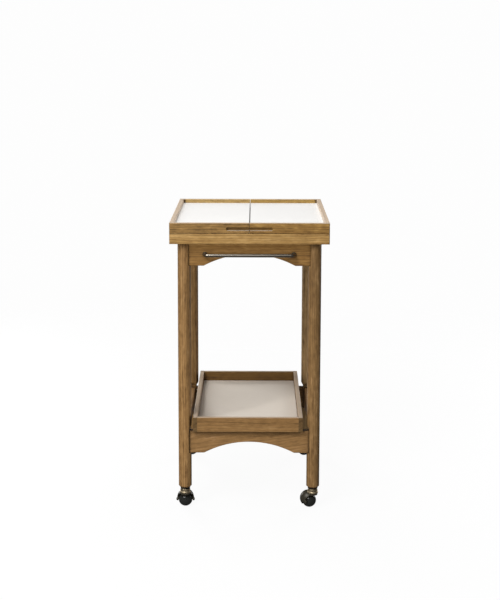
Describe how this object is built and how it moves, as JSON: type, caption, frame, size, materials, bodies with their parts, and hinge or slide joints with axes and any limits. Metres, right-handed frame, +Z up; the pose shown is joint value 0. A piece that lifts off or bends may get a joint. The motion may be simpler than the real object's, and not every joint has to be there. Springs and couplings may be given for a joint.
{
  "type": "kitchen cart",
  "caption": "Kitchen cart on ball casters with a hinged worktop that opens out to both sides, a towel bar and a loose lower tray.",
  "frame": {"origin": "on the floor, under the middle of the closed top", "axes": "+Z up, -Y to the side with the towel bar, +X to the right seen from there"},
  "size_m": [0.4564, 0.5516, 0.84],
  "materials": {
    "leg_wood": "satin, straight upright grain",
    "apron_wood": "satin, grain along the board",
    "base_wood": "satin, lighter board",
    "rim_wood": "satin, golden streaks",
    "rim_wood_dark": "satin, greyer board",
    "tray_wood": "satin",
    "pale_wood": "unfinished",
    "white_board": "melamine facing, satin",
    "grey_board": "melamine facing, matt",
    "bar_black": "gloss black",
    "dark_steel": "blackened",
    "hinge_brass": "satin",
    "collar_bronze": "antique bronze",
    "hood_metal": "dark gunmetal",
    "ball_black": "gloss black"
  },
  "bodies": {
    "frame": {"leg_front_left": "leg_wood", "leg_front_right": "leg_wood", "leg_back_left": "leg_wood", "leg_back_right": "leg_wood", "apron_upper_front": "apron_wood", "apron_upper_back": "apron_wood", "apron_upper_left": "apron_wood", "apron_upper_right": "apron_wood", "apron_lower_front": "apron_wood", "apron_lower_back": "apron_wood", "apron_lower_left": "apron_wood", "apron_lower_right": "apron_wood", "apron_dowels": "pale_wood", "corner_blocks": "pale_wood", "leg_bolts": "dark_steel", "top_screws": "dark_steel", "base_edge_front": "base_wood", "base_edge_back": "base_wood", "base_edge_left": "base_wood", "base_edge_right": "base_wood", "base_panel": "white_board", "base_hinges": "hinge_brass", "base_hinge_screws": "hinge_brass", "towel_bar": "bar_black", "bar_flanges": "bar_black", "bar_screws": "dark_steel", "caster_sleeves": "dark_steel"},
    "leaf_left": {"leaf_left_panel": "white_board", "leaf_left_rim_front": "rim_wood_dark", "leaf_left_rim_back": "rim_wood", "leaf_left_rim_side": "rim_wood", "leaf_left_hinges": "hinge_brass", "leaf_left_screws": "hinge_brass"},
    "leaf_right": {"leaf_right_panel": "white_board", "leaf_right_rim_front": "rim_wood", "leaf_right_rim_back": "rim_wood", "leaf_right_rim_side": "rim_wood", "leaf_right_hinges": "hinge_brass", "leaf_right_screws": "hinge_brass"},
    "tray": {"tray_left": "tray_wood", "tray_right": "tray_wood", "tray_front": "tray_wood", "tray_back": "tray_wood", "tray_floor": "grey_board"},
    "caster_front_left": {"caster_fl_stem": "collar_bronze", "caster_fl_hood": "hood_metal", "caster_fl_axle": "hood_metal"},
    "ball_front_left": {"caster_fl_ball": "ball_black"},
    "caster_front_right": {"caster_fr_stem": "collar_bronze", "caster_fr_hood": "hood_metal", "caster_fr_axle": "hood_metal"},
    "ball_front_right": {"caster_fr_ball": "ball_black"},
    "caster_back_left": {"caster_bl_stem": "collar_bronze", "caster_bl_hood": "hood_metal", "caster_bl_axle": "hood_metal"},
    "ball_back_left": {"caster_bl_ball": "ball_black"},
    "caster_back_right": {"caster_br_stem": "collar_bronze", "caster_br_hood": "hood_metal", "caster_br_axle": "hood_metal"},
    "ball_back_right": {"caster_br_ball": "ball_black"}
  },
  "joints": [
    {"name": "leaf_left_hinge", "type": "hinge", "parent": "frame", "child": "leaf_left", "pos_m": [-0.22525, 0, 0.81025], "axis": [0, -1, 0], "range_deg": [0, 180]},
    {"name": "leaf_right_hinge", "type": "hinge", "parent": "frame", "child": "leaf_right", "pos_m": [0.22525, 0, 0.81025], "axis": [0, 1, 0], "range_deg": [0, 180]},
    {"name": "tray_slide", "type": "slide", "parent": "frame", "child": "tray", "axis": [0, -1, 0], "range_m": [0, 0.24]},
    {"name": "swivel_front_left", "type": "hinge", "parent": "frame", "child": "caster_front_left", "pos_m": [-0.185, -0.239, 0.05], "axis": [0, 0, 1], "continuous": true},
    {"name": "roll_front_left", "type": "hinge", "parent": "caster_front_left", "child": "ball_front_left", "pos_m": [-0.185, -0.228, 0.02], "axis": [1, 0, 0], "continuous": true},
    {"name": "swivel_front_right", "type": "hinge", "parent": "frame", "child": "caster_front_right", "pos_m": [0.185, -0.239, 0.05], "axis": [0, 0, 1], "continuous": true},
    {"name": "roll_front_right", "type": "hinge", "parent": "caster_front_right", "child": "ball_front_right", "pos_m": [0.17547, -0.2335, 0.02], "axis": [0.5, 0.866, 0], "continuous": true},
    {"name": "swivel_back_left", "type": "hinge", "parent": "frame", "child": "caster_back_left", "pos_m": [-0.185, 0.239, 0.05], "axis": [0, 0, 1], "continuous": true},
    {"name": "roll_back_left", "type": "hinge", "parent": "caster_back_left", "child": "ball_back_left", "pos_m": [-0.18876, 0.24934, 0.02], "axis": [0.9397, 0.342, 0], "continuous": true},
    {"name": "swivel_back_right", "type": "hinge", "parent": "frame", "child": "caster_back_right", "pos_m": [0.185, 0.239, 0.05], "axis": [0, 0, 1], "continuous": true},
    {"name": "roll_back_right", "type": "hinge", "parent": "caster_back_right", "child": "ball_back_right", "pos_m": [0.17722, 0.24678, 0.02], "axis": [0.7071, 0.7071, 0], "continuous": true}
  ]
}
